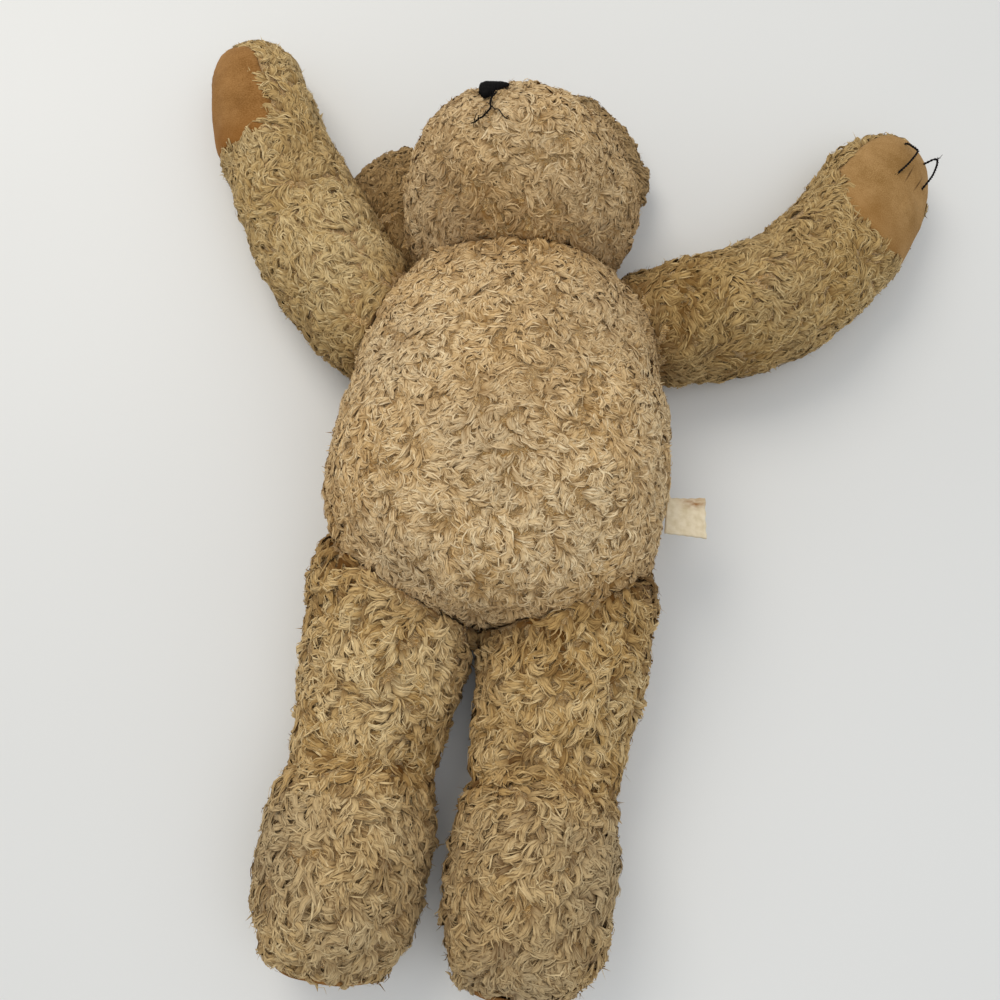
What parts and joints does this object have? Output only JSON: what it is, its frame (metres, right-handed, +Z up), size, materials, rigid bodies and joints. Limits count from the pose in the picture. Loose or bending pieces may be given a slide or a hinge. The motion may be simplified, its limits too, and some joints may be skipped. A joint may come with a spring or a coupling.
{
  "type": "teddy bear",
  "caption": "Threadbare stuffed teddy bear in matted curly beige pile, lying on its back with its head fallen back, one arm thrown up and the other bent out, suede pads let into paws and soles.",
  "frame": {"origin": "on the table, under the middle of the whole bear's box", "axes": "+Z up off the table, +Y from the feet to the head, +X to the bear's own left"},
  "size_m": [0.5088, 0.6088, 0.1479],
  "materials": {
    "body_pile": "matted curly pile",
    "limb_pile": "matted curly pile",
    "ear_pile": "matted curly pile",
    "suede": "napped suede, rubbed",
    "black_thread": "stranded cotton thread",
    "eye_black": "polished",
    "label_cream": "woven cotton tape, bare"
  },
  "bodies": {
    "root": {"torso": "body_pile", "head": "body_pile", "ear_left": "ear_pile", "ear_right": "ear_pile", "arm_left": "limb_pile", "arm_right": "limb_pile", "leg_left": "limb_pile", "leg_right": "limb_pile", "paw_pad_left": "suede", "paw_pad_right": "suede", "foot_pad_left": "suede", "foot_pad_right": "suede", "nose": "black_thread", "mouth_stitch_left": "black_thread", "mouth_stitch_right": "black_thread", "claw_thread_upper": "black_thread", "claw_thread_lower": "black_thread", "eye_left": "eye_black", "eye_right": "eye_black", "side_label": "label_cream"}
  },
  "joints": []
}
